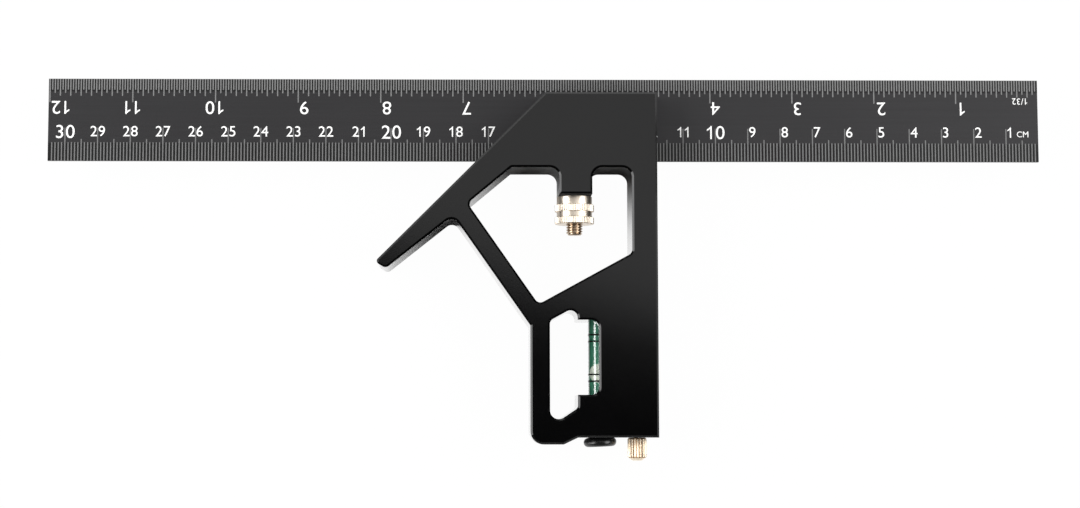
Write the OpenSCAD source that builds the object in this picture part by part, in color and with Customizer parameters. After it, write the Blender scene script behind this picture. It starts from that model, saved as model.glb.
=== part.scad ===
// Multifunction square: a ruled steel blade that slides through a cast head.
// The head gives a right angle and a 45 degree mitre, and carries a level vial and a scriber.
// Lies flat on the back of the head, Z up. X runs along the blade towards the zero end.
// Origin: back face of the head, on the lock bolt's axis, at the lower edge of the blade.

/* [Blade] */
// Length of the blade
blade_l = 305.2; // [280:0.1:330]
// Width of the blade
blade_w = 25.4; // [24:0.1:28]
// Thickness of the blade
blade_t = 1.2; // [1:0.1:2]
// Distance from the lock bolt to the zero end of the blade
zero_x = 143.6; // [110:0.1:170]
// Width of the guide groove in the back of the blade
groove_w = 3.2; // [2.8:0.1:4]
// Depth of the guide groove
groove_d = 0.5; // [0.4:0.05:0.6]
// Height of the middle of the guide groove above the lower edge
groove_y = 12.7; // [11:0.1:13.5]

/* [Graduations] */
// Width of a graduation line
line_w = 0.36; // [0.2:0.02:0.5]
// Height of the filled line over the blade
line_h = 0.04; // [0.02:0.01:0.08]
// Bare length of the blade past the last lines
end_blank = 0.3; // [0.2:0.1:5]
// Length of a millimetre line
mm_len = 5.7; // [4:0.1:6]
// Length of a five millimetre line
five_len = 6.7; // [6:0.1:8]
// Length of a centimetre line
cm_len = 10.2; // [8.5:0.1:11]
// Length of a thirty-second line
frac_len = 3.4; // [2.5:0.1:4]
// Length of a sixteenth line
six_len = 4.4; // [4:0.1:5]
// Length of an eighth line
eight_len = 5.3; // [5:0.1:6]
// Length of an inch line
inch_len = 7.3; // [6.5:0.1:8]

/* [Head] */
// Thickness of the head
head_t = 20; // [17:0.5:24]
// Width of the chamfer round every edge
edge = 0.6; // [0.3:0.05:0.9]
// Depth of the slot that holds the blade
slot_d = 20.1; // [19:0.1:22]
// Distance from the lock bolt to the square face
face_x = 24.75; // [24:0.05:28]
// Drop from the slot floor to the bottom of the head
head_drop = 84.6; // [83:0.1:92]
// Distance from the lock bolt to the mitre face along the slot floor
mitre_x = 29.2; // [28:0.1:32]
// Drop from the slot floor to the tip of the mitre finger
finger_drop = 31.6; // [30:0.1:34]
// Slope of the underside of the finger
finger_ang = 38.3; // [37:0.1:40]
// Length of the blunt end of the finger
finger_end = 3.9; // [3:0.1:4.5]
// Slope of the blunt end of the finger
end_ang = 33.3; // [25:0.1:40]
// Slope of the strut
strut_ang = 55; // [54:0.1:57]
// Width of the strut
strut_w = 5.7; // [5:0.1:7]
// Drop from the slot floor to the foot of the strut
strut_drop = 50.9; // [50:0.1:53]
// Distance from the lock bolt to the back of the foot
foot_x = 13.9; // [13:0.1:15]
// How far the pad under the foot stands down
pad_h = 2.05; // [1:0.05:3]
// Width of the pad
pad_w = 10; // [8:0.1:12]
// Length of the slope beside the pad
pad_run = 4.3; // [3:0.1:5]
// Radius of the outer corner of the pad
pad_r = 4; // [2:0.1:6]

/* [Main window] */
// Thickness of the web between the slot floor and the window
web_t = 2.9; // [2.5:0.1:4]
// Width of the bar behind the square face
bar_w = 7.75; // [7:0.05:9]
// Distance from the lock bolt to the upper corner of the window
corner_x = 19.5; // [18:0.1:21]
// Slope of the inside of the mitre bar
mitre_ang = 39.7; // [38:0.1:42]
// Slope of the lower side of the window
low_ang = 28.7; // [28:0.1:32]
// Drop from the slot floor to the lower side, at the lock bolt
low_drop = 38.3; // [36:0.1:39]
// Width of the boss round the lock bolt
boss_w = 10; // [9:0.1:12]
// Drop from the slot floor to the end of the boss
boss_drop = 11; // [9.5:0.05:12]
// Fillet radius at the roots of the boss and the square bar
root_r = 3; // [1.5:0.1:4]
// Corner radius at the narrow ends of the windows
nose_r = 1.8; // [1:0.1:2.5]

/* [Vial window] */
// Distance from the lock bolt to the back wall of the window
cell_x = 8; // [7:0.1:9]
// Distance from the lock bolt to the front wall of the window
cell_front = 0.4; // [0:0.1:1]
// Drop to the upper side, at the lock bolt
cell_top = 45.1; // [44.5:0.1:46.5]
// Drop to the lower side, at the lock bolt
cell_low = 76; // [75:0.1:78]
// Slope of the lower side of the window
cell_ang = 33.7; // [30:0.1:36]
// Length of the notch that shows the vial
notch_l = 22.6; // [20:0.1:24]
// Distance from the vial's axis back to the side of the notch
notch_back = 0.75; // [0.3:0.05:1.2]
// Corner radius of the notch
notch_r = 2.3; // [1:0.1:3]

/* [Lock] */
// Diameter of the bolt's thread
bolt_d = 5; // [4.6:0.1:5.2]
// Diameter of the lock bore through the boss
lock_bore = 7; // [6.7:0.1:7.4]
// Height of the top of the bolt above the slot floor
bolt_top = 15.2; // [14.8:0.1:15.8]
// Drop from the slot floor to the shoulder of the bolt
shoulder_drop = 2.4; // [2:0.1:3]
// Width of the nib that runs in the groove
nib_w = 2.2; // [1.8:0.1:2.3]
// Play of the nib in the tightened lock
nib_play = 0.05; // [0.03:0.01:0.1]
// Height that the bolt rises when the nut is loose
bolt_lift = 0.9; // [0.5:0.05:0.9]
// Length of bolt below the nut
bolt_out = 3.3; // [2:0.05:6]
// Diameter of the nut's knurled flanges
flange_d = 12; // [11.5:0.1:14]
// Thickness of each knurled flange
flange_t = 2.2; // [1.5:0.05:2.6]
// Diameter of the nut's neck
neck_d = 10.8; // [10:0.1:11.2]
// Length of the neck above the flanges
neck_l = 2.5; // [1.5:0.05:3]
// Width of the groove between the flanges
gap_l = 1.6; // [1:0.05:2.5]
// Number of teeth on each knurled flange
knurl_n = 44; // [30:1:50]
// Depth of the knurled teeth
knurl_d = 0.3; // [0.15:0.01:0.35]
// Diameter of the spring wire
wire_d = 0.7; // [0.5:0.05:0.75]
// Turns of the spring
turns = 5; // [3:1:7]

/* [Level] */
// Distance from the lock bolt to the vial's axis
vial_x = 7.55; // [7.3:0.05:8]
// Drop from the slot floor to the middle of the vial
vial_drop = 60.5; // [60:0.1:61]
// Outer diameter of the vial
vial_d = 7; // [6.4:0.1:7.4]
// Length of the vial
vial_l = 28; // [26:0.1:30]
// Wall of the vial
vial_wall = 0.8; // [0.5:0.05:1]
// Distance between the two inner rings
ring_in = 10.05; // [8:0.05:11]
// Distance between the two outer rings
ring_out = 14.1; // [12:0.05:16]
// Width of a ring
ring_w = 0.3; // [0.2:0.02:0.5]
// Length of the bubble
bubble_l = 5.2; // [4:0.1:7]
// Distance of the bubble from the middle of the vial
bubble_off = 4.7; // [0:0.1:6]
// Diameter of the plug's head
plug_d = 10; // [9:0.1:10.5]
// Height of the plug's head
plug_h = 2.8; // [2:0.1:3.5]

/* [Scriber] */
// Distance from the lock bolt to the scriber's axis
scriber_x = 18.85; // [18.5:0.05:20]
// Diameter of the knob
knob_d = 5.8; // [5:0.1:7]
// Length of the knob
knob_l = 6.9; // [5:0.1:9]
// Height of the cone at the end of the knob
knob_cone = 1.1; // [0.5:0.1:1.5]
// Number of flutes on the knob
flutes = 18; // [12:1:22]
// Depth of the flutes
flute_d = 0.35; // [0.2:0.01:0.45]
// Diameter of the needle
needle_d = 2; // [1.6:0.1:2.4]
// Length of the needle
needle_l = 46; // [35:0.5:48]
// Length of the needle's point
point_l = 8; // [4:0.5:12]
// Outer diameter of the friction sleeve
sleeve_d = 4; // [3.8:0.1:4.6]
// Length of the friction sleeve
sleeve_l = 9; // [6:0.5:14]
// Width of the slit in the friction sleeve
slit_w = 0.6; // [0.4:0.1:1]

/* [Clearances] */
// Gap on each face of a sliding fit
slide_fit = 0.06; // [0.03:0.01:0.1]
// Radial gap of a turning or telescoping fit
turn_fit = 0.05; // [0.03:0.01:0.1]
// Gap left between a piece and the end of its bore
end_gap = 0.3; // [0.2:0.05:0.5]

/* [Hidden] */
$fn = 64;
arc_step = 9;
mid_z = head_t / 2;
blade_front = mid_z + blade_t / 2;
blade_back = mid_z - blade_t / 2;
groove_floor = blade_back + groove_d;
inch = 25.4;
mm_count = floor(blade_l - end_blank);
frac_count = floor((blade_l - end_blank) * 32 / inch);
nut_top = -boss_drop;
nut_l = neck_l + 2 * flange_t + gap_l;
nut_end = nut_top - nut_l;
bolt_end = nut_end - bolt_out;
bolt_head_d = lock_bore - 4 * turn_fit;
tongue_face = blade_back - slide_fit;
collar_top = -bolt_lift - end_gap;
nib_low = groove_y - groove_w / 2 + nib_play;
lock_bore_top = bolt_top + bolt_lift + end_gap;
spring_r = (lock_bore + bolt_d) / 4;
vial_top = -vial_drop + vial_l / 2;
vial_end = -vial_drop - vial_l / 2;
vial_bore = vial_d + 2 * turn_fit;
knob_top = -head_drop - 2 * turn_fit;
needle_top = knob_top + needle_l;
needle_bore = needle_d + 6 * turn_fit;
grip_l = 0.6 * knob_l;

// Plane geometry for the outlines.
// A unit vector at an angle, and the point where two lines meet.
function way(a) = [cos(a), sin(a)];
function unit(v) = v / norm(v);
function left(v) = [-v.y, v.x];
function area2(u, v) = u.x * v.y - u.y * v.x;
function meet(p, a, q, b) = p + way(a) * area2(q - p, way(b)) / area2(way(a), way(b));
function shifted(p, a, d) = p + left(way(a)) * d;
function turned(v, a) = [v.x * cos(a) - v.y * sin(a), v.x * sin(a) + v.y * cos(a)];

// One corner of an outline: a single point when sharp, or an arc of fixed count when rounded.
function arc(p, u, a, r) =
    let (s = sign(a), c = p - u * r * tan(abs(a) / 2) + left(u) * r * s, n = ceil(abs(a) / arc_step))
    [for (k = [0:n]) c - turned(left(u) * r * s, a * k / n)];

// The outline through vertices [x, y, radius], moved inwards by d, with the same count at any d.
function ring(vs, d) =
    let (n = len(vs))
    [for (i = [0:n - 1])
        let (
            b = [vs[i].x, vs[i].y],
            u = unit(b - [vs[(i + n - 1) % n].x, vs[(i + n - 1) % n].y]),
            v = unit([vs[(i + 1) % n].x, vs[(i + 1) % n].y] - b),
            a = atan2(area2(u, v), u * v),
            p = b + (left(u) + left(v)) * d / (1 + left(u) * left(v))
        )
        each (vs[i].z == 0 ? [p] : arc(p, u, a, vs[i].z - sign(a) * d))];

// A solid through rings of equal count that lie at rising heights.
module skin(rings) {
    n = len(rings[0]);
    m = len(rings);
    sides = [for (k = [0:m - 2]) for (i = [0:n - 1])
        [k * n + i, (k + 1) * n + i, (k + 1) * n + (i + 1) % n, k * n + (i + 1) % n]];
    low = [for (i = [0:n - 1]) i];
    high = [for (i = [n - 1:-1:0]) (m - 1) * n + i];
    polyhedron([for (r = rings) each r], concat([low], sides, [high]), convexity = 8);
}

function lifted(points, z) = [for (p = points) [p.x, p.y, z]];

// A tall prism whose walls draw in or out by c over the chamfers at both faces of a plate.
module chamfered_prism(vs, t, c) {
    face = ring(vs, c);
    wall = ring(vs, 0);
    skin([lifted(face, -1), lifted(face, 0), lifted(wall, abs(c)),
        lifted(wall, t - abs(c)), lifted(face, t), lifted(face, t + 1)]);
}

// A plate with a chamfer round both faces.
module chamfered_plate(vs, t, c) {
    reach = 2 * max([for (v = vs) max(abs(v.x), abs(v.y))]);
    intersection() {
        chamfered_prism(vs, t, c);
        translate([-reach, -reach, 0]) cube([2 * reach, 2 * reach, t]);
    }
}

// The cutter of a window whose edges are chamfered on both faces.
module window_cutter(vs, t, c) {
    chamfered_prism(vs, t, -c);
}

// Places a shape drawn along Z so that it runs along Y in the middle of the head.
module along_y(x, y) {
    translate([x, y, mid_z]) rotate([-90, 0, 0]) children();
}

// Flat-topped teeth round a circle.
function teeth(r, n, depth) = [for (i = [0:4 * n - 1]) (i % 4 < 2 ? r : r - depth) * way(i * 90 / n)];

// A straight-knurled disc: the teeth stop short of both faces.
module knurled_disc(d, h, n, depth, c) {
    cylinder(d = d - 2 * depth - c, h = h);
    translate([0, 0, c]) linear_extrude(h - 2 * c) polygon(teeth(d / 2, n, depth));
}

// A round bar with coarse flutes, a cone at its lower end and a small chamfer at the other.
module fluted_bar(d, h, n, depth, cone, c) {
    skin([lifted(teeth(d / 2 - 1.4 * cone, n, depth / 4), 0), lifted(teeth(d / 2, n, depth), cone),
        lifted(teeth(d / 2, n, depth), h - c), lifted(teeth(d / 2 - c, n, depth / 4), h)]);
}

// Outline of the head, anticlockwise from the top of the square face.
mitre_p = [-mitre_x, 0];
tip = meet(mitre_p, 45, [0, -finger_drop], 0);
tip_low = tip + finger_end * way(-end_ang);
strut_p = [-foot_x, -strut_drop];
finger_root = meet(tip_low, finger_ang, strut_p, -strut_ang);
head_outline = [
    [face_x, slot_d, 0],
    [slot_d - mitre_x, slot_d, 0],
    [tip.x, tip.y, 1],
    [tip_low.x, tip_low.y, 1.7],
    [finger_root.x, finger_root.y, 2.5],
    [-foot_x, -strut_drop, 0],
    [-foot_x, -head_drop - pad_h, pad_r],
    [-foot_x + pad_w, -head_drop - pad_h, 0],
    [-foot_x + pad_w + pad_run, -head_drop, 0],
    [face_x, -head_drop, 0]];

// Main window, anticlockwise from its top right corner.
bar_in = face_x - bar_w;
diag_p = [-corner_x, -web_t];
strut_in = shifted(strut_p, -strut_ang, strut_w);
low_p = [0, -low_drop];
nose = meet(diag_p, mitre_ang, strut_in, -strut_ang);
heel = meet(low_p, low_ang, strut_in, -strut_ang);
bar_foot = meet(low_p, low_ang, [bar_in, 0], 90);
main_window = [
    [bar_in, -web_t, root_r],
    [boss_w / 2, -web_t, root_r],
    [boss_w / 2, -boss_drop, 0],
    [-boss_w / 2, -boss_drop, 0],
    [-boss_w / 2, -web_t, root_r],
    [diag_p.x, diag_p.y, 0.8],
    [nose.x, nose.y, nose_r],
    [heel.x, heel.y, nose_r],
    [bar_foot.x, bar_foot.y, 2]];

// Vial window, anticlockwise from its top right corner, and the notch in its front wall.
cell_a = meet([0, -cell_top], low_ang, [cell_front, 0], 90);
cell_b = meet([0, -cell_top], low_ang, [-cell_x, 0], 90);
cell_c = meet([0, -cell_low], cell_ang, [-cell_x, 0], 90);
cell_d = meet([0, -cell_low], cell_ang, [cell_front, 0], 90);
notch_x = vial_x - notch_back;
notch_top = -vial_drop + notch_l / 2;
notch_low = -vial_drop - notch_l / 2;
vial_window = [
    [cell_a.x, cell_a.y, 2.2],
    [cell_b.x, cell_b.y, nose_r],
    [cell_c.x, cell_c.y, 2.6],
    [cell_d.x, cell_d.y, 1.6]];
notch = [
    [notch_x, notch_top, notch_r],
    [cell_front - 3, notch_top, 0],
    [cell_front - 3, notch_low, 0],
    [notch_x, notch_low, notch_r]];

// Cast head with its slot, windows and bores.
module head() {
    color("#1c1c1e") difference() {
        chamfered_plate(head_outline, head_t, edge);
        window_cutter(main_window, head_t, edge);
        window_cutter(vial_window, head_t, edge);
        window_cutter(notch, head_t, edge);
        // slot for the blade, open at the top and at both ends
        translate([-mitre_x - slot_d, 0, blade_back - slide_fit])
            cube([mitre_x + face_x + 2 * slot_d, slot_d + 1, blade_t + line_h + 2 * slide_fit]);
        // bore for the lock bolt and its spring
        along_y(0, -boss_drop - 1) cylinder(d = lock_bore, h = boss_drop + 1 + lock_bore_top);
        // bore for the vial and its plug
        along_y(vial_x, -head_drop - 1) cylinder(d = vial_bore, h = head_drop + 1 + vial_top + end_gap);
        // bore for the needle and its sleeve
        along_y(scriber_x, -head_drop - 1) cylinder(d = sleeve_d, h = sleeve_l + 1);
        along_y(scriber_x, -head_drop - 1) cylinder(d = needle_bore, h = head_drop + 1 + needle_top + end_gap);
    }
}

// Ruled blade with its guide groove.
module blade() {
    color("#3c3d3f") difference() {
        translate([zero_x - blade_l, 0, blade_back]) cube([blade_l, blade_w, blade_t]);
        translate([zero_x - blade_l - 1, groove_y - groove_w / 2, blade_back - 1])
            cube([blade_l + 2, groove_w, groove_d + 1]);
    }
}

// One graduation line that starts at an edge of the blade and runs over it.
module graduation(x, l, up) {
    translate([zero_x - x - line_w / 2, up ? 0 : blade_w - l, blade_front]) cube([line_w, l, line_h]);
}

// Millimetre lines on the lower edge.
module metric_scale() {
    color("#b8b8b6") for (i = [1:mm_count])
        graduation(i, i % 10 == 0 ? cm_len : i % 5 == 0 ? five_len : mm_len, true);
}

// Inch lines on the upper edge.
module inch_scale() {
    color("#b8b8b6") for (i = [1:frac_count])
        graduation(i * inch / 32, i % 32 == 0 ? inch_len : i % 4 == 0 ? eight_len : i % 2 == 0 ? six_len : frac_len,
            false);
}

// Lock bolt: threaded shank, shoulder, and a tongue behind the blade with a nib in the groove.
module lock_bolt() {
    color("#a8a8a4") union() {
        difference() {
            along_y(0, -shoulder_drop) cylinder(d = bolt_head_d, h = bolt_top + shoulder_drop);
            translate([-lock_bore, collar_top, tongue_face])
                cube([2 * lock_bore, bolt_top - collar_top + 1, lock_bore]);
        }
        translate([-nib_w / 2, nib_low, tongue_face - 0.5])
            cube([nib_w, nib_w, groove_floor - tongue_face - slide_fit + 0.5]);
        along_y(0, bolt_end + 0.5) cylinder(d = bolt_d, h = -shoulder_drop - bolt_end);
        along_y(0, bolt_end) cylinder(d1 = bolt_d - 1, d2 = bolt_d, h = 0.5);
    }
}

// Double-flanged knurled nut that bears on the end of the boss.
module lock_nut() {
    color("#d8d2bf") difference() {
        union() {
            along_y(0, nut_end) cylinder(d = neck_d, h = nut_l);
            for (y = [nut_end, nut_end + flange_t + gap_l])
                along_y(0, y) knurled_disc(flange_d, flange_t, knurl_n, knurl_d, 0.2);
        }
        along_y(0, nut_end - 1) cylinder(d = bolt_d + 2 * turn_fit, h = nut_l + 2);
    }
}

// Spring that lifts the bolt when the nut is loosened.
module lock_spring() {
    steps = 14;
    sides = 8;
    rise = -shoulder_drop - nut_top - wire_d - 2 * turn_fit;
    function coil(k) = [for (j = [0:sides - 1])
        let (a = 360 * k / steps, r = spring_r + wire_d / 2 * cos(360 * j / sides))
        [r * cos(a), r * sin(a), rise * k / (steps * turns) - wire_d / 2 * sin(360 * j / sides)]];
    color("#8f8f8c") along_y(0, nut_top + wire_d / 2 + turn_fit) skin([for (k = [0:steps * turns]) coil(k)]);
}

// Glass tube of the level, closed at its upper end.
module vial_tube() {
    r = vial_d / 2;
    color("#9fd0b8") along_y(vial_x, vial_end) rotate_extrude()
        polygon([[r - vial_wall, 0], [r, 0], [r, vial_l - 0.6], [r - 0.6, vial_l], [0, vial_l],
            [0, vial_l - vial_wall], [r - vial_wall, vial_l - vial_wall]]);
}

// Green liquid, with the bubble floating at the top of the tube.
module vial_liquid() {
    r = vial_d / 2 - vial_wall - turn_fit / 5;
    bubble_r = 0.62 * r;
    color("#1f7a55") difference() {
        along_y(vial_x, vial_end + 2) cylinder(r = r, h = vial_l - vial_wall - 2 - turn_fit);
        translate([vial_x, -vial_drop - bubble_off, mid_z + r - bubble_r + 0.15]) {
            rotate([90, 0, 0]) cylinder(r = bubble_r, h = bubble_l - 2 * bubble_r, center = true);
            for (s = [-1, 1]) translate([0, s * (bubble_l / 2 - bubble_r), 0]) sphere(r = bubble_r);
        }
    }
}

// Disc that seals the lower end of the tube.
module vial_cap() {
    color("#2c2c2c") along_y(vial_x, vial_end) cylinder(d = vial_d - 2 * vial_wall - 2 * turn_fit, h = 2 - turn_fit);
}

// Reading rings round the tube.
module vial_rings() {
    color("#101010") for (s = [-1, 1]) for (p = [ring_in, ring_out])
        along_y(vial_x, -vial_drop + s * p / 2 - ring_w / 2) difference() {
            cylinder(d = vial_d + turn_fit, h = ring_w);
            translate([0, 0, -1]) cylinder(d = vial_d, h = ring_w + 2);
        }
}

// Rubber plug that closes the vial's bore, with a rounded head.
module vial_plug() {
    r = plug_d / 2;
    stem = head_drop + vial_end - end_gap;
    round_r = plug_h / 2;
    rim = [for (a = [0:15:180]) [r - round_r + round_r * sin(a), -round_r - round_r * cos(a)]];
    color("#141414") along_y(vial_x, -head_drop) rotate_extrude()
        polygon(concat([[0, stem], [0, -plug_h]], rim, [[vial_d / 2, 0], [vial_d / 2, stem]]));
}

// Split sleeve that grips the needle.
module scriber_sleeve() {
    color("#c9b27a") difference() {
        along_y(scriber_x, -head_drop + turn_fit) cylinder(d = sleeve_d, h = sleeve_l - turn_fit);
        along_y(scriber_x, -head_drop - 1) cylinder(d = needle_d + 2 * turn_fit, h = sleeve_l + 2);
        translate([scriber_x - slit_w / 2, -head_drop - 1, mid_z]) cube([slit_w, sleeve_l + 2, sleeve_d]);
    }
}

// Hardened needle with a long point.
module scriber_needle() {
    color("#b9bcc0") union() {
        along_y(scriber_x, knob_top - grip_l) cylinder(d = needle_d, h = needle_l - point_l + grip_l);
        along_y(scriber_x, needle_top - point_l) cylinder(d1 = needle_d, d2 = 0.2, h = point_l);
    }
}

// Fluted knob at the end of the needle.
module scriber_knob() {
    color("#d9c48c") difference() {
        along_y(scriber_x, knob_top - knob_l) fluted_bar(knob_d, knob_l, flutes, flute_d, knob_cone, 0.4);
        along_y(scriber_x, knob_top - grip_l) cylinder(d = needle_d, h = grip_l + 1);
    }
}

head();
blade();
metric_scale();
inch_scale();
lock_bolt();
lock_nut();
lock_spring();
vial_tube();
vial_liquid();
vial_cap();
vial_rings();
vial_plug();
scriber_sleeve();
scriber_needle();
scriber_knob();
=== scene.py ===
# %% [markdown]
# # A multifunction square, dressed for its picture
# The tool is a ruled steel blade that slides through a black metal head. The head and the blade
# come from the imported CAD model, so they are already true to size. This script gives them their
# finishes and adds what is too fine for the solids: the figures of the two scales, the screw
# thread, the knurling of the nut, the flutes of the scriber's knob and the bubble of the vial.
# Every length is in metres, in the frame of the CAD model: X runs along the blade, Z is up.

# %% Load the model
import math
import bmesh
import bpy
from mathutils import Matrix, Vector


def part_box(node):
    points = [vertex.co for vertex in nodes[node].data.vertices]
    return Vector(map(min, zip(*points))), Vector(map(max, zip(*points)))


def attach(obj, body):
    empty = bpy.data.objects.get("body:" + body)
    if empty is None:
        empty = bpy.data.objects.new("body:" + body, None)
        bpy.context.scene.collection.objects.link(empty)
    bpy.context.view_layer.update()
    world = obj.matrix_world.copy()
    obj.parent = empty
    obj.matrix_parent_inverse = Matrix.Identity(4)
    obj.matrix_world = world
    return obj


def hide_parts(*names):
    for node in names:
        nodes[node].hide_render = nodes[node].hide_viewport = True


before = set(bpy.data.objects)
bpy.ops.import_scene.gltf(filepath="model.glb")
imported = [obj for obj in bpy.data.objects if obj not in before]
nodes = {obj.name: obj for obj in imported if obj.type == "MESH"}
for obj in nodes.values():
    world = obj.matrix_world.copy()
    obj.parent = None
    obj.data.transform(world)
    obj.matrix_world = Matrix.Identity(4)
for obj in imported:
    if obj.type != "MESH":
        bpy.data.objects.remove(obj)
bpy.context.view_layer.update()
mm = 0.001
print("nodes:", sorted(nodes))

# %% [markdown]
# ## Places read from the frame
# Pieces and patterns are put where the CAD says. The boxes of the nodes give the axis of the lock,
# the end of the blade where both scales start, and the two faces of the blade.

# %% Places
blade_low, blade_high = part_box("blade")
zero_end, blade_top, blade_front = blade_high
blade_back = blade_low[2]
nut_low, nut_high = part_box("lock_nut")
bolt_low, bolt_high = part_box("lock_bolt")
mid = (nut_low[2] + nut_high[2]) / 2
knob_low, knob_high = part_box("scriber_knob")
knob_x, knob_r = (knob_low[0] + knob_high[0]) / 2, (knob_high[0] - knob_low[0]) / 2
print("zero end", round(zero_end, 5), "blade front", round(blade_front, 5))
print("mid plane", round(mid, 5), "knob's axis", round(knob_x, 5))

# %% [markdown]
# ## Finishes
# Shader maths reads best as sums. A small class wraps an output socket, so that adding or
# multiplying two of them adds a Math node to the same material.

# %% A socket that does arithmetic
class Wire:
    def __init__(self, finish, socket):
        self.finish = finish
        self.socket = socket

    def __add__(self, other):
        return self.finish.maths("ADD", self, other)

    def __sub__(self, other):
        return self.finish.maths("SUBTRACT", self, other)

    def __rsub__(self, other):
        return self.finish.maths("SUBTRACT", other, self)

    def __mul__(self, other):
        return self.finish.maths("MULTIPLY", self, other)

    __radd__ = __add__
    __rmul__ = __mul__


# %% [markdown]
# Any other node comes from one method of the finish, which sets the node's own settings first and
# then its inputs. Patterns read the object's own coordinates, so they move with the piece.

# %% A finish and its nodes
def label(key):
    return key.replace("_", " ").title().replace("Ior", "IOR")


class Finish:
    def __init__(self, name, **constants):
        self.material = bpy.data.materials.new(name)
        self.material.use_nodes = True
        self.tree = self.material.node_tree
        self.surface = self.tree.nodes["Principled BSDF"]
        self.output = self.tree.nodes["Material Output"]
        self.give(**constants)

    def node(self, kind, settings=None, inputs=None, out=0):
        made = self.tree.nodes.new(kind)
        for key, value in (settings or {}).items():
            setattr(made, key, value)
        for key, value in (inputs or {}).items():
            self.feed(made.inputs[key], value)
        return Wire(self, made.outputs[out])

    def feed(self, socket, value):
        if isinstance(value, Wire):
            self.tree.links.new(value.socket, socket)
        else:
            socket.default_value = value

    def give(self, **inputs):
        for key, value in inputs.items():
            self.feed(self.surface.inputs[label(key)], value)

    def maths(self, operation, a, b=0.0):
        return self.node("ShaderNodeMath", {"operation": operation}, {0: a, 1: b})

    def place(self, stretch=(1, 1, 1), centre=(0, 0, 0)):
        spot = self.node("ShaderNodeTexCoord", out="Object")
        return self.node("ShaderNodeMapping", {"vector_type": "TEXTURE"},
                         {"Vector": spot, "Location": centre, "Scale": stretch})

    def part(self, vector, axis):
        return self.node("ShaderNodeSeparateXYZ", {}, {0: vector}, axis)

    def ramp(self, value, start, end, top=1.0, kind="LINEAR"):
        return self.node("ShaderNodeMapRange", {"interpolation_type": kind},
                         {0: value, 1: start, 2: end, 3: 0.0, 4: top})

    def noise(self, size, stretch=(1, 1, 1), detail=3.0):
        return self.node("ShaderNodeTexNoise", {},
                         {"Vector": self.place(stretch), "Scale": 1.0 / size, "Detail": detail})

    def blend(self, amount, low, high):
        return self.node("ShaderNodeMix", {"data_type": "RGBA"}, {0: amount, 6: low, 7: high}, 2)

    def relief(self, height, depth, strength, under=None):
        inputs = {"Height": height, "Distance": depth, "Strength": strength}
        if under is not None:
            inputs["Normal"] = under
        return self.node("ShaderNodeBump", {}, inputs)


def shade(r, g, b):
    return (r, g, b, 1.0)


# %% [markdown]
# ## The head's finish
# The head is cast, cut to shape and blackened. The surface is nearly black, and what the eye sees
# is mostly the soft sheen of the lamps on it. A plain black would look like a hole, so the sheen
# is broken up at three sizes: faint clouds from handling, a fine grain from the blasting before
# the colour went on, and a slow change of gloss between the two. The walls were cut by the side
# of a milling cutter, so they are rougher and streaked across their thickness. Oil on the black
# makes a second, weak mirror there, because the walls are seen edge on. The end of the boss is as
# the saw left it: dull, with no mirror.

# %% Black head
def wall_mask(f, half_height):
    height = f.part(f.place(centre=(0, 0, mid)), "Z")
    return f.maths("LESS_THAN", f.maths("ABSOLUTE", height), half_height)


def box_mask(f, centre, half_size):
    inside = f.node("ShaderNodeVectorMath", {"operation": "ABSOLUTE"},
                    {0: f.place(half_size, centre)})
    x, y, z = (f.part(inside, axis) for axis in "XYZ")
    return f.maths("LESS_THAN", f.maths("MAXIMUM", f.maths("MAXIMUM", x, y), z), 1.0)


def black_head():
    f = Finish("black_head", metallic=0.0, specular_ior_level=0.38, coat_ior=1.2,
               coat_roughness=0.12)
    clouds = f.noise(18 * mm, detail=4.0)
    grain = f.noise(0.35 * mm, detail=2.0)
    specks = f.noise(1.2 * mm, detail=5.0)
    streaks = f.noise(0.4 * mm, stretch=(1, 1, 40), detail=3.0)
    wall = wall_mask(f, half_height=9.1 * mm)
    sawn = box_mask(f, centre=(0, -11 * mm, mid), half_size=(5 * mm, 0.2 * mm, 9.6 * mm))
    cut_marks = wall * (0.02 + streaks * 0.05)
    f.give(base_color=f.blend(clouds, shade(0.0004, 0.0004, 0.0005), shade(0.0010, 0.0010, 0.0011)),
           roughness=0.10 + clouds * 0.03 + specks * 0.02 + cut_marks + sawn * 0.85,
           coat_weight=wall * (1 - sawn),
           normal=f.relief(grain, 0.02 * mm, 0.16, f.relief(specks, 0.04 * mm, 0.06)))
    return f


# %% [markdown]
# ## The blade's finish
# The blade is ground lengthways and then darkened. Grinding leaves scratches that run along the
# blade, so the noise that makes them is squeezed across it and drawn out along it. They turn the
# highlight into a band, which is what tells the eye that this is metal. Between the graduations,
# along both edges, the darkening bath left the steel almost black.

# %% Ground and darkened blade
def ground_blade():
    f = Finish("ground_blade", metallic=0.55)
    strokes = f.noise(0.2 * mm, stretch=(90, 1, 1), detail=4.0)
    long_strokes = f.noise(0.8 * mm, stretch=(60, 1, 1), detail=3.0)
    clouds = f.noise(30 * mm, detail=3.0)
    tone = strokes * 0.35 + long_strokes * 0.35 + clouds * 0.3
    across = f.part(f.place(centre=(0, 13.5 * mm, 0)), "Y")
    ruled = f.ramp(f.maths("ABSOLUTE", across), 7.7 * mm, 8.3 * mm, top=0.88)
    bare = f.blend(tone, shade(0.017, 0.0165, 0.0175), shade(0.034, 0.033, 0.035))
    f.give(base_color=f.blend(ruled, bare, shade(0.003, 0.003, 0.003)),
           roughness=0.40 + strokes * 0.12,
           normal=f.relief(strokes, 0.01 * mm, 0.30))
    return f


# %% [markdown]
# ## Paint in the graduations
# The lines and figures are filled with a pale paint that was wiped off the surface. It is matt,
# and the wiping leaves it thinner in places, so its brightness wanders a little along a line. The
# paints of the fine lines are darker than that of the figures, because less of it stayed in them.

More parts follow.
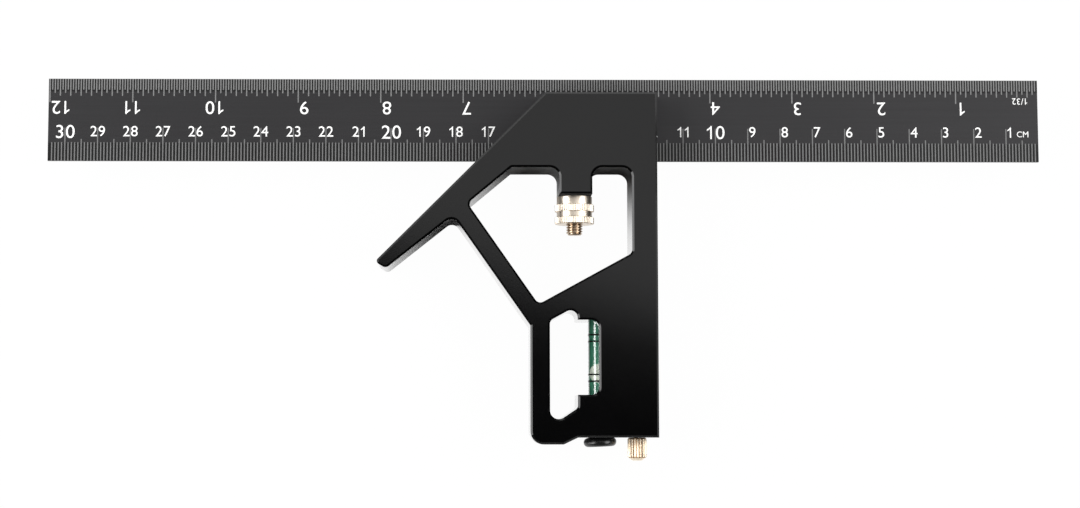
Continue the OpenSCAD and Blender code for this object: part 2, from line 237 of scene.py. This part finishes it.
# %% Wiped paint
def wiped_paint(name, dark, pale):
    f = Finish(name, metallic=0.0)
    worn = f.noise(1.5 * mm, detail=5.0)
    f.give(base_color=f.blend(worn, shade(*dark), shade(*pale)), roughness=0.55 + worn * 0.15,
           normal=f.relief(worn, 0.01 * mm, 0.2))
    return f


# %% [markdown]
# ## Plated and turned metal
# The nut, the bolt and the knob are turned on a lathe and plated. The tool leaves rings round the
# axis, which here runs along Y, so the noise is drawn out across X and Z and stays fine along Y.
# The colour of a metal belongs in its base colour, and a little tarnish makes it uneven. A second
# tone is blended in by the distance from the axis, over what lies deeper. On the knob it is a brown
# that paints shade into the flutes, with some grease and dust; on the nut it is the colour of
# nearly all its metal.
# Knurling leaves the ribs of the nut rougher than its neck.

# %% Turned metal
# How deep a point lies, read from its distance to the axis. On the knob the tone blended in here is
# painted shade in the flutes.
def groove_mask(f, axis_x, crest, bottom, tone_from):
    spoke = f.node("ShaderNodeVectorMath", {"operation": "MULTIPLY"},
                   {0: f.place(centre=(axis_x, 0, mid)), 1: (1, 0, 1)})
    reach = f.node("ShaderNodeVectorMath", {"operation": "LENGTH"}, {0: spoke}, "Value")
    sunk = f.node("ShaderNodeClamp", {}, {0: (crest - reach) * (1 / (crest - bottom))})
    return sunk * f.maths("GREATER_THAN", reach, tone_from)


def turned_metal(name, bright, dull, roughness, ring_depth=0.004 * mm, groove=None, deep_tone=None,
                 rim_rough=0.0):
    f = Finish(name, metallic=1.0)
    rings = f.noise(0.16 * mm, stretch=(30, 1, 30), detail=3.0)
    tarnish = f.noise(2.2 * mm, detail=5.0)
    colour = f.blend(tarnish, shade(*bright), shade(*dull))
    if groove:
        sunk = groove_mask(f, **groove)
        colour = f.blend(sunk, colour, shade(*deep_tone))
        roughness = roughness + (1 - sunk) * rim_rough
    f.give(base_color=colour, roughness=roughness + tarnish * 0.12,
           normal=f.relief(rings, ring_depth, 0.5))
    return f


# %% [markdown]
# ## The level vial
# A clear tube holds a dark green spirit. The tube bends light, so it gets transmission and the
# refraction of acrylic, and a coat that mirrors the side lamp as one sharp streak. A real tube
# lets light through to what it holds. A path tracer finds that light only by luck, so the tube
# casts no shadow here, and the spirit and its bubble are lit as if it were not there.

# %% Tube, spirit and bubble
def clear_tube():
    f = Finish("clear_tube", transmission_weight=1.0, ior=1.49, metallic=0.0, coat_weight=1.0,
               coat_ior=1.8, coat_roughness=0.02)
    smears = f.noise(4 * mm, detail=3.0)
    f.give(base_color=f.blend(smears, shade(0.90, 0.97, 0.94), shade(0.97, 1.0, 0.98)),
           roughness=0.01 + smears * 0.02)
    return f


def green_spirit():
    f = Finish("green_spirit", metallic=0.0, specular_ior_level=0.2)
    streaks = f.noise(3 * mm, stretch=(1, 6, 1), detail=3.0)
    # Painted shade: the spirit is made paler towards the top of the tube and darker at its sides,
    # with streaks.
    height = f.part(f.place(centre=(0, 0, mid - 0.5 * mm)), "Z")
    painted_shade_and_streaks = height * 260.0 + streaks * 0.4 - 0.2
    f.give(base_color=f.blend(painted_shade_and_streaks, shade(0.010, 0.080, 0.044), shade(0.045, 0.200, 0.125)),
           roughness=0.35 + streaks * 0.1)
    return f


# The bubble's pale colour is painted light: it stands in for the light that the air lets through
# and reflects.
def bubble_skin():
    f = Finish("bubble_skin", metallic=0.0)
    film = f.noise(1.2 * mm, detail=3.0)
    f.give(base_color=f.blend(film, shade(0.38, 0.42, 0.36), shade(0.62, 0.64, 0.56)),
           roughness=0.25 + film * 0.1)
    return f


# %% [markdown]
# The rings are printed on the tube in black, and the plug is moulded rubber with a faint bloom.

# %% Print and rubber
def printed_black():
    f = Finish("printed_black", metallic=0.0, specular_ior_level=0.1)
    worn = f.noise(0.8 * mm)
    f.give(base_color=f.blend(worn, shade(0.002, 0.002, 0.002), shade(0.008, 0.008, 0.008)),
           roughness=0.3 + worn * 0.1)
    return f


def moulded_rubber():
    f = Finish("moulded_rubber", metallic=0.0)
    skin = f.noise(0.4 * mm, detail=4.0)
    bloom = f.noise(4 * mm, detail=3.0)
    f.give(base_color=f.blend(bloom, shade(0.006, 0.006, 0.006), shade(0.014, 0.014, 0.015)),
           roughness=0.22 + bloom * 0.12, normal=f.relief(skin, 0.02 * mm, 0.12))
    return f


# %% [markdown]
# A CAD node keeps its mesh and only gets a better finish. The material goes into the node's slots.
# The colours are those of the photograph's middle tones, because the lamps stand at a plain level.

# %% Finish the CAD nodes
def dress(finish, *names):
    for name in names:
        slots = nodes[name].data.materials
        slots.clear()
        slots.append(finish.material)


figure_paint = wiped_paint("figure_paint", (0.74, 0.74, 0.73), (0.86, 0.86, 0.85))
nut_metal = turned_metal("nut_metal", (0.83, 0.765, 0.665), (0.79, 0.71, 0.60), 0.28, 0.0025 * mm,
                         groove={"axis_x": 0, "crest": 7.7 * mm, "bottom": 5.6 * mm, "tone_from": 0.0},
                         deep_tone=(0.84, 0.74, 0.62), rim_rough=0.12)
# The knob's brown deep tone is painted shade in its flutes, with some grime, and it stops short of
# the rounded ends.
knob_brass = turned_metal("knob_brass", (0.95, 0.86, 0.70), (0.93, 0.79, 0.60), 0.40, 0.001 * mm,
                          groove={"axis_x": knob_x, "crest": knob_r - 0.05 * mm,
                                  "bottom": knob_r - 0.28 * mm, "tone_from": knob_r - 0.5 * mm},
                          deep_tone=(0.50, 0.31, 0.17))
bolt_metal = turned_metal("bolt_metal", (0.58, 0.46, 0.34), (0.40, 0.30, 0.21), 0.22)
steel = turned_metal("drawn_steel", (0.60, 0.60, 0.60), (0.45, 0.45, 0.46), 0.24)
black_print = printed_black()
dress(black_head(), "head")
dress(ground_blade(), "blade")
dress(wiped_paint("metric_paint", (0.095, 0.095, 0.095), (0.155, 0.155, 0.155)), "metric_scale")
dress(wiped_paint("inch_paint", (0.12, 0.12, 0.12), (0.19, 0.19, 0.19)), "inch_scale")
dress(black_print, "vial_cap")
dress(steel, "lock_spring", "scriber_needle")
dress(knob_brass, "scriber_sleeve")
print("finishes:", len(bpy.data.materials))


# %% [markdown]
# ## From a shape to a piece
# Shapes are built with bmesh operators. A shape becomes a piece when its doubles are merged, its
# faces point outwards, its finish is on, and it rides on a body. Turnings are built standing on Z
# and are then laid along Y, which is the way of the lock, the vial and the scriber.

# %% Turn a bmesh into a piece
def piece(name, bm, finish, body, sharp=35):
    mesh = bpy.data.meshes.new(name)
    bmesh.ops.remove_doubles(bm, verts=bm.verts, dist=1e-7)
    bmesh.ops.recalc_face_normals(bm, faces=bm.faces)
    bm.to_mesh(mesh)
    bm.free()
    mesh.polygons.foreach_set("use_smooth", [True] * len(mesh.polygons))
    mesh.set_sharp_from_angle(angle=math.radians(sharp))
    mesh.materials.append(finish.material)
    made = bpy.data.objects.new(name, mesh)
    bpy.context.scene.collection.objects.link(made)
    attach(made, body)
    print(name, "faces:", len(mesh.polygons))
    return made


def stand_along_y(bm, x, y):
    turn = Matrix.Rotation(math.radians(-90), 3, "X")
    bmesh.ops.rotate(bm, verts=bm.verts, cent=(0, 0, 0), matrix=turn)
    bmesh.ops.translate(bm, verts=bm.verts, vec=(x, y, mid))


def pour(source, target, move=Matrix()):
    mesh = bpy.data.meshes.new("poured")
    source.to_mesh(mesh)
    source.free()
    mesh.transform(move)
    target.from_mesh(mesh)
    bpy.data.meshes.remove(mesh)


def new_verts(grown):
    return [g for g in grown["geom"] if isinstance(g, bmesh.types.BMVert)]


def new_edges(grown):
    return [g for g in grown["geom"] if isinstance(g, bmesh.types.BMEdge)]


# %% [markdown]
# ## Ribbed turnings
# A knurled nut and a fluted knob are both a round bar whose skin carries ribs over part of its
# length. One circle of vertices is extruded from level to level, and each level says how high it
# is, how wide the bar is and how deep its ribs are cut. The ribs then run straight along the bar
# by themselves. Where the last level comes back to the first, the bar has a bore; otherwise its
# ends are closed.

# %% A ribbed bar
def ribbed_bar(ribs, levels, fine=8):
    bm = bmesh.new()
    bmesh.ops.create_circle(bm, segments=ribs * fine, radius=1.0)
    ring = list(bm.edges)

    def shape(verts, height, radius, depth):
        for v in verts:
            phase = math.atan2(v.co.y, v.co.x) * ribs
            cut = (0.5 - 0.5 * math.cos(phase)) ** 1.5
            v.co = Vector((v.co.x, v.co.y, 0)).normalized() * (radius - depth * cut)
            v.co.z = height

    shape(bm.verts, *levels[0])
    first = list(bm.verts)
    for level in levels[1:]:
        grown = bmesh.ops.extrude_edge_only(bm, edges=ring)
        ring = new_edges(grown)
        shape(new_verts(grown), *level)
    if levels[0] == levels[-1]:
        bmesh.ops.remove_doubles(bm, verts=bm.verts, dist=1e-7)
    else:
        bmesh.ops.contextual_create(bm, geom=first)
        bmesh.ops.contextual_create(bm, geom=ring)
    return bm


# %% [markdown]
# The lock nut has a smooth neck and two knurled flanges with a groove between them. It grips the
# boss of the head with its neck, so the levels run down from there. A narrow chamfer at each end
# of a flange stops the knurling and catches the light. The bore clears the bolt's thread.

# %% Lock nut
def flange(top, r, neck, c, thick=2.2 * mm, shallow=0.10 * mm, deep=0.20 * mm):
    foot = top - thick
    return [(top, neck, 0), (top, r - 3 * c, 0), (top - 0.2 * c, r - c, shallow),
            (top - c, r, deep), (foot + c, r, deep), (foot + 0.2 * c, r - c, shallow),
            (foot, r - 3 * c, 0), (foot, neck, 0)]


nut_h = nut_high[1] - nut_low[1]
neck_r, neck_chamfer, bore_r = 5.4 * mm, 0.15 * mm, 2.55 * mm
flange_r = (nut_high[0] - nut_low[0]) / 2
nut_levels = [(nut_h, bore_r, 0), (nut_h, neck_r - neck_chamfer, 0),
              (nut_h - neck_chamfer, neck_r, 0)]
nut_levels += flange(nut_h - 2.5 * mm, flange_r, neck_r, 0.15 * mm)
nut_levels += flange(nut_h - 6.3 * mm, flange_r, neck_r, 0.22 * mm)[:-1]
nut_levels += [(0, bore_r, 0), (nut_h, bore_r, 0)]
nut_body = ribbed_bar(60, nut_levels)
stand_along_y(nut_body, 0, nut_low[1])
nut = piece("nut_turned", nut_body, nut_metal, "nut", sharp=28)
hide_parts("lock_nut")

# %% [markdown]
# The knob of the scriber is a small bar with coarse flutes and rounded ends.

# %% Scriber's knob
knob_h = knob_high[1] - knob_low[1]
flute = 0.32 * mm
knob_levels = [(0, knob_r - 1.54 * mm, 0), (0.06 * mm, knob_r - 1.42 * mm, 0),
               (1.0 * mm, knob_r - 0.18 * mm, 0.14 * mm), (1.12 * mm, knob_r, flute),
               (knob_h - 0.4 * mm, knob_r, flute),
               (knob_h - 0.05 * mm, knob_r - 0.35 * mm, 0.1 * mm), (knob_h, knob_r - 0.5 * mm, 0)]
knob_body = ribbed_bar(20, knob_levels)
stand_along_y(knob_body, knob_x, knob_low[1])
knob = piece("knob_fluted", knob_body, knob_brass, "scriber", sharp=40)
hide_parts("scriber_knob")

# %% [markdown]
# ## Plug of the vial's bore
# The plug is a soft rubber mushroom. Its head is fully rounded at the rim, and it was pressed in
# a little askew, as rubber plugs are. Only the head is tilted; the stem fills the bore.

# %% Plug
plug_low, plug_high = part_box("vial_plug")
plug_x, plug_r = (plug_low[0] + plug_high[0]) / 2, (plug_high[0] - plug_low[0]) / 2
plug_h, stem_r = plug_high[1] - plug_low[1], 3.5 * mm
plug_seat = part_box("head")[0][1] + 2.05 * mm
cap_h = plug_seat - plug_low[1]
rim_r = cap_h / 2
rim = [math.radians(a) for a in range(15, 180, 15)]
cap_levels = [(0, 0.4 * plug_r, 0), (0, plug_r - rim_r, 0)]
cap_levels += [(rim_r - rim_r * math.cos(a), plug_r - rim_r + rim_r * math.sin(a), 0) for a in rim]
cap_levels += [(cap_h, plug_r - rim_r, 0), (cap_h, stem_r, 0), (plug_h, stem_r, 0)]
plug_body = ribbed_bar(16, cap_levels, fine=4)
cap_verts = [v for v in plug_body.verts if v.co.z < cap_h + 0.01 * mm]
askew = Matrix.Rotation(math.radians(-2.6), 3, "Y")
bmesh.ops.rotate(plug_body, verts=cap_verts, cent=(0, 0, rim_r), matrix=askew)
stand_along_y(plug_body, plug_x, plug_low[1])
plug = piece("vial_plug_askew", plug_body, moulded_rubber(), "head", sharp=50)
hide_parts("vial_plug")

# %% [markdown]
# ## Tube and spirit
# Seen through a thick round wall, what fills the tube looks as wide as the tube itself. That
# works only where spirit and wall touch, so the tube is one clear bar with no inner wall, and the
# spirit lies in it.

# %% Tube and spirit
tube_low, tube_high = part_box("vial_tube")
spirit_low, spirit_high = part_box("vial_liquid")
vial_x, tube_r = (tube_low[0] + tube_high[0]) / 2, (tube_high[0] - tube_low[0]) / 2
tube_h, spirit_h = tube_high[1] - tube_low[1], spirit_high[1] - spirit_low[1]
tube_end = 0.3 * mm
tube_levels = [(0, tube_r - tube_end, 0), (tube_end, tube_r, 0), (tube_h - tube_end, tube_r, 0),
               (tube_h, tube_r - tube_end, 0)]
tube_body = ribbed_bar(16, tube_levels, fine=6)
stand_along_y(tube_body, vial_x, tube_low[1])
tube = piece("clear_tube", tube_body, clear_tube(), "head")
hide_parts("vial_tube")
tube.visible_shadow = False
spirit_r = tube_r - 0.15 * mm
spirit_body = ribbed_bar(16, [(0, spirit_r, 0), (spirit_h, spirit_r, 0)], fine=4)
stand_along_y(spirit_body, vial_x, spirit_low[1])
spirit = piece("green_spirit", spirit_body, green_spirit(), "head")
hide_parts("vial_liquid")

# %% [markdown]
# ## Reading rings
# Two pairs of black rings are printed round the tube. They stand where the CAD rings stand, but a
# little wider, as ink spreads. Their inner side is sunk into the tube, so no gap shows.

# %% Reading rings
ring_low, ring_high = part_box("vial_rings")
ring_y, ring_r = (ring_low[1] + ring_high[1]) / 2, (ring_high[0] - ring_low[0]) / 2
ring_w, cad_ring_w = 0.46 * mm, 0.3 * mm
inner, outer = 5.025 * mm, (ring_high[1] - ring_low[1] - cad_ring_w) / 2
ring_floor = tube_r - 0.02 * mm
ring_levels = [(0, ring_floor, 0), (0, ring_r, 0), (ring_w, ring_r, 0), (ring_w, ring_floor, 0)]
rings = bmesh.new()
for offset in (-outer, -inner, inner, outer):
    band = ribbed_bar(16, ring_levels + ring_levels[:1], fine=6)
    stand_along_y(band, vial_x, ring_y + offset - ring_w / 2)
    pour(band, rings)
printed = piece("vial_rings_printed", rings, black_print, "head")
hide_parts("vial_rings")


# %% [markdown]
# ## Bubble
# The bubble is a pool of air pressed against the top of the wall. It starts as a flat disc, each
# of its points is then wrapped round the spirit, and a thin skin is grown below it.

# %% Bubble
def wrapped_bubble(y, half_length, half_turn, r):
    bm = bmesh.new()
    bmesh.ops.create_circle(bm, cap_ends=True, cap_tris=True, segments=48, radius=1.0)
    spokes = [e for e in bm.edges if not e.is_boundary]
    bmesh.ops.subdivide_edges(bm, edges=spokes, cuts=5, use_grid_fill=True)
    for v in bm.verts:
        turn = v.co.x * half_turn
        v.co = (vial_x + r * math.sin(turn), y + v.co.y * half_length, mid + r * math.cos(turn))
    grown = bmesh.ops.extrude_face_region(bm, geom=list(bm.faces))
    bmesh.ops.translate(bm, verts=new_verts(grown), vec=(0, 0, -0.1 * mm))
    return bm


bubble_body = wrapped_bubble(-65.2 * mm, half_length=2.9 * mm, half_turn=math.radians(66),
                             r=spirit_r + 0.03 * mm)
piece("vial_bubble", bubble_body, bubble_skin(), "head")

# %% [markdown]
# ## Lock bolt
# The bolt is a stud with a screw thread below and a half-round tongue above, which reaches up
# behind the blade and hooks a nib into its groove. A thread is one small profile, a pitch long,
# that is spun round the axis while it climbs, so the spin operator makes it in one call. Two
# planes cut it to length, and its lower end is pressed into a cone, as a screw's lead is.

# %% Thread
def lead_in(bm, tip_r, slope):
    for v in bm.verts:
        reach = math.hypot(v.co.x, v.co.y)
        limit = tip_r + v.co.z * slope
        if reach > limit:
            v.co.x *= limit / reach
            v.co.y *= limit / reach


def screw_thread(major, minor, pitch, length, steps=36):
    bm = bmesh.new()
    turns = math.ceil(length / pitch) + 2
    outline = [(minor, 0), (major, 0.30), (major, 0.56), (minor, 0.86), (minor, 1.0)]
    verts = [bm.verts.new((r, 0, (share - 1) * pitch)) for r, share in outline]
    edges = [bm.edges.new(pair) for pair in zip(verts, verts[1:])]
    bmesh.ops.spin(bm, geom=verts + edges, cent=(0, 0, 0), axis=(0, 0, 1),
                   angle=math.tau * turns, steps=steps * turns, dvec=(0, 0, pitch / steps),
                   use_merge=False)
    bmesh.ops.remove_doubles(bm, verts=bm.verts, dist=1e-6)
    for height, side in ((0.0, -1), (length, 1)):
        everything = list(bm.verts) + list(bm.edges) + list(bm.faces)
        bmesh.ops.bisect_plane(bm, geom=everything, plane_co=(0, 0, height),
                               plane_no=(0, 0, side), clear_outer=True)
    lead_in(bm, tip_r=minor - 0.1 * mm, slope=1.1)
    bmesh.ops.holes_fill(bm, edges=[e for e in bm.edges if e.is_boundary], sides=0)
    return bm


thread_r, thread_h = 2.5 * mm, 11.0 * mm
thread_body = screw_thread(thread_r, 2.05 * mm, 0.8 * mm, thread_h)
stand_along_y(thread_body, 0, bolt_low[1])
thread = piece("bolt_thread", thread_body, bolt_metal, "bolt", sharp=50)


# %% [markdown]
# The upper part is three bars in line: the shank, the collar that the spring pushes on, and the
# tongue. The tongue is a bar cut flat just behind the blade, and the nib is a small block on it.

# %% Shoulder, tongue and nib
def bar(bm, radius, y0, y1):
    made = bmesh.ops.create_cone(bm, cap_ends=True, segments=48, radius1=radius, radius2=radius,
                                 depth=y1 - y0)
    turn = Matrix.Rotation(math.radians(-90), 3, "X")
    bmesh.ops.rotate(bm, verts=made["verts"], cent=(0, 0, 0), matrix=turn)
    bmesh.ops.translate(bm, verts=made["verts"], vec=(0, (y0 + y1) / 2, mid))
    return made["verts"]


def flatten(bm, verts, z):
    faces = {face for v in verts for face in v.link_faces}
    edges = {edge for v in verts for edge in v.link_edges}
    cut = bmesh.ops.bisect_plane(bm, geom=list(verts) + list(edges) + list(faces),
                                 plane_co=(0, 0, z), plane_no=(0, 0, 1), clear_outer=True)
    rim = [e for e in cut["geom_cut"] if isinstance(e, bmesh.types.BMEdge)]
    bmesh.ops.holes_fill(bm, edges=rim, sides=0)


def bolt_upper():
    bm = bmesh.new()
    shoulder, collar, overlap = -2.4 * mm, -1.2 * mm, 0.1 * mm
    tongue_z = blade_back - 0.06 * mm
    tongue_r = (bolt_high[0] - bolt_low[0]) / 2
    bar(bm, thread_r, bolt_low[1] + thread_h - overlap, shoulder)
    bar(bm, tongue_r, shoulder, collar)
    flatten(bm, bar(bm, tongue_r, collar, bolt_high[1]), tongue_z)
    nib = bmesh.ops.create_cube(bm, size=1.0)["verts"]
    bmesh.ops.scale(bm, verts=nib, vec=(2.2 * mm, 2.2 * mm, 0.88 * mm))
    bmesh.ops.translate(bm, verts=nib, vec=(0, 12.25 * mm, tongue_z))
    return bm


piece("bolt_tongue", bolt_upper(), steel, "bolt")
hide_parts("lock_bolt")

# %% [markdown]
# ## Figures of the scales
# The figures are real letters set flat on the blade. A text curve makes them, but its mesh is
# wanted, because a finished piece keeps its place in its vertices. Each sign is measured and
# scaled to a height of one, and then a line of them is set sign by sign, as type is. The font's
# own one is a bare bar, so that sign is drawn here with the flag that rulers give it.

# %% One sign, one unit high
FLAGGED_ONE = [(0.47, 0), (0.47, 1), (0.39, 1), (0.33, 0.91), (0.23, 0.82), (0.11, 0.75),
               (0.11, 0.63), (0.25, 0.70), (0.35, 0.78), (0.35, 0)]
ADVANCE = {"1": 0.70, "/": 0.46, "C": 1.0, "M": 1.14}


def advance(letter):
    return ADVANCE.get(letter, 0.77)


def sign(letter):
    bm = bmesh.new()
    if letter == "1":
        bm.faces.new([bm.verts.new((x, y, 0)) for x, y in FLAGGED_ONE])
        bm.normal_update()
        return bm
    curve = bpy.data.curves.new("sign", "FONT")
    curve.body = letter
    made = bpy.data.objects.new("sign", curve)
    mesh = bpy.data.meshes.new_from_object(made)
    bm.from_mesh(mesh)
    bpy.data.objects.remove(made)
    bpy.data.curves.remove(curve)
    bpy.data.meshes.remove(mesh)
    xs, ys = [v.co.x for v in bm.verts], [v.co.y for v in bm.verts]
    bmesh.ops.translate(bm, verts=bm.verts, vec=(-(min(xs) + max(xs)) / 2, -min(ys), 0))
    bmesh.ops.scale(bm, verts=bm.verts, vec=Vector((1, 1, 1)) / (max(ys) - min(ys)))
    bmesh.ops.translate(bm, verts=bm.verts, vec=(advance(letter) / 2, 0, 0))
    return bm


# %% [markdown]
# A line of signs is set at its left, its middle or its right, and turned half round where it is to
# be read from the other side. The whole scale is then given its thickness at once: the figures
# stand a hair over the blade, as the lines of the CAD do.

# %% Set a line of signs on the blade
FIGURE_RISE = 0.045 * mm


def set_text(bm, words, height, x, y, anchor, upside_down=False, wide=1.0):
    line = bmesh.new()
    pen = 0.0
    for letter in words:
        pour(sign(letter), line, Matrix.Translation((pen, 0, 0)))
        pen += advance(letter)
    xs = [v.co.x for v in line.verts]
    centre = {"left": min(xs), "middle": (min(xs) + max(xs)) / 2, "right": max(xs)}[anchor]
    turn = Matrix.Rotation(math.pi if upside_down else 0.0, 4, "Z")
    size = Matrix.Diagonal((height * wide, height, 1, 1))
    place = Matrix.Translation((x, y, blade_front + FIGURE_RISE))
    pour(line, bm, place @ turn @ size @ Matrix.Translation((-centre, 0, 0)))


def raise_figures(bm):
    grown = bmesh.ops.extrude_face_region(bm, geom=list(bm.faces))
    bmesh.ops.translate(bm, verts=new_verts(grown), vec=(0, 0, -FIGURE_RISE))


# %% [markdown]
# The millimetre scale has a figure at each centimetre. One to nine stand just right of their line,
# and the rest are centred on it. Every tenth is larger.

# %% Centimetre figures
metric = bmesh.new()
small, small_y = 3.2 * mm, 7.55 * mm
tall, tall_y = 4.1 * mm, 6.95 * mm
for cm in range(1, 31):
    x = zero_end - cm * 10 * mm
    if cm < 10:
        set_text(metric, str(cm), small, x + 0.45 * mm, small_y, "left")
    elif cm % 10 == 0:
        set_text(metric, str(cm), tall, x + 0.1 * mm, tall_y, "middle", wide=1.03)
    else:
        set_text(metric, str(cm), small, x, small_y, "middle")
set_text(metric, "CM", 1.8 * mm, zero_end - 6.6 * mm, 7.7 * mm, "left")
raise_figures(metric)
piece("metric_figures", metric, figure_paint, "blade", sharp=20)

# %% [markdown]
# The inch scale starts at the same end but is read from the other side, so its figures stand on
# their heads. Turning a figure half round swaps its left and right. On the real blade they weren't
# set evenly, so a few are nudged along it.

# %% Inch figures
inches = bmesh.new()
inch_h, inch_y = 4.0 * mm, blade_top - 6.93 * mm
nudge = {1: 0.65 * mm, 2: 0.35 * mm, 4: -0.35 * mm, 7: -0.9 * mm, 10: -0.3 * mm}
for inch in range(1, 13):
    x = zero_end - inch * 25.4 * mm + nudge.get(inch, 0)
    side = "middle"
    if inch not in (10, 11):
        x, side = x + 0.6 * mm, "right"
    set_text(inches, str(inch), inch_h, x, inch_y, side, upside_down=True, wide=1.05)
set_text(inches, "1/32", 1.95 * mm, zero_end - 3.2 * mm, blade_top - 5.55 * mm, "left",
         upside_down=True, wide=0.95)
raise_figures(inches)
piece("inch_figures", inches, figure_paint, "blade", sharp=20)


# %% [markdown]
# ## Floor
# The photograph has a plain white ground. The floor shows white to the camera, to mirrors and
# through glass, but it lights the object only as a pale floor would, and it keeps a faint shadow.
# The walls of the head mirror the paper at their foot. To mirrors the floor is painted white by
# place, a painted pool of light for the walls to reflect. Under the blade and in the corner between
# finger and strut that painted white fades out, so there the mirrors see the floor as it is lit.

# %% Pale floor
# Painted light: how much glowing white the mirrors see, set by place on the floor.
def open_paper(f):
    spot = f.place()
    before = f.ramp(f.part(spot, "Y"), -3 * mm, -28 * mm, kind="SMOOTHSTEP")
    sideways = f.part(spot, "X")
    left = f.ramp(sideways, -41 * mm, -64 * mm)
    right = f.maths("GREATER_THAN", sideways, -36.5 * mm)
    return before * f.maths("MAXIMUM", left * left, right)


def pale_floor():
    f = Finish("pale_floor", roughness=0.8, base_color=shade(0.80, 0.80, 0.80))
    ray = f.node("ShaderNodeLightPath", out="Is Camera Ray")
    glossy = Wire(f, ray.socket.node.outputs["Is Glossy Ray"])
    through = Wire(f, ray.socket.node.outputs["Is Transmission Ray"])
    white = f.node("ShaderNodeEmission", {}, {"Color": shade(1, 1, 1), "Strength": 1.0})
    mixed = f.node("ShaderNodeMixShader", {}, {0: (ray + through) * 0.98 + glossy * open_paper(f),
                                               1: Wire(f, f.surface.outputs[0]), 2: white})
    f.tree.links.new(mixed.socket, f.output.inputs["Surface"])
    return f


ground = bmesh.new()
bmesh.ops.create_grid(ground, x_segments=1, y_segments=1, size=3.0)
floor_mesh = bpy.data.meshes.new("floor")
ground.to_mesh(floor_mesh)
ground.free()
floor_mesh.materials.append(pale_floor().material)
floor = bpy.data.objects.new("floor", floor_mesh)
bpy.context.scene.collection.objects.link(floor)


# %% [markdown]
# ## Light
# A black object is drawn by what it reflects. A wide soft lamp stands above and behind the blade,
# so its reflection covers the blade and fades down the head. Two side lamps draw the chamfers, a
# low one on the left lights the walls that face it, and one behind lights the far side. Nothing
# stands in front, which leaves the chamfers that face the viewer dark.

# %% Lamps and surroundings
def soft_lamp(name, place, aim, wide, deep, watts, turn=0.0):
    lamp = bpy.data.lights.new(name, "AREA")
    lamp.shape = "RECTANGLE"
    lamp.size, lamp.size_y = wide, deep
    lamp.energy = watts
    made = bpy.data.objects.new(name, lamp)
    made.location = place
    facing = (Vector(aim) - Vector(place)).to_track_quat("-Z", "Y").to_matrix()
    made.rotation_euler = (facing @ Matrix.Rotation(math.radians(turn), 3, "Z")).to_euler()
    bpy.context.scene.collection.objects.link(made)


soft_lamp("lamp_above", (0.01, 0.45, 1.10), (0.01, 0.45, 0.0), 1.6, 0.8, 4.5, turn=-15)
soft_lamp("lamp_left", (-0.93, 0.15, 0.58), (0.0, 0.15, 0.0), 1.8, 0.6, 20.0)
soft_lamp("lamp_right", (0.87, 0.0, 0.69), (0.0, 0.0, 0.0), 1.6, 0.6, 15.0)
soft_lamp("lamp_low_left", (-1.2, 0.0, 0.13), (0.0, 0.0, 0.02), 1.0, 0.24, 4.3)
soft_lamp("lamp_behind", (0.0, 1.20, 0.35), (0.0, 0.0, 0.0), 1.6, 0.6, 6.5)
world = bpy.data.worlds.new("surroundings")
world.use_nodes = True
background = world.node_tree.nodes["Background"]
background.inputs["Color"].default_value = shade(1, 1, 1)
background.inputs["Strength"].default_value = 0.02
bpy.context.scene.world = world
print("lamps:", len(bpy.data.lights))

# %% [markdown]
# ## Camera
# The place and the lens were worked out from the ruler's own lines: each line's tip is a point
# whose true place is known. The lens axis meets the picture left of its middle, hence the shift.

# %% Camera
camera_data = bpy.data.cameras.new("camera")
camera_data.sensor_width = 36.0
camera_data.lens = 67.46
camera_data.shift_x = 0.0374
camera_data.shift_y = -0.0067
camera = bpy.data.objects.new("camera", camera_data)
camera.location = (-0.032735, -0.080031, 0.628525)
camera.rotation_euler = (0.086566, -0.015710, -0.000554)
bpy.context.scene.collection.objects.link(camera)
bpy.context.scene.camera = camera
bpy.context.scene.view_settings.view_transform = "Standard"
print("camera at", tuple(round(c, 3) for c in camera.location))
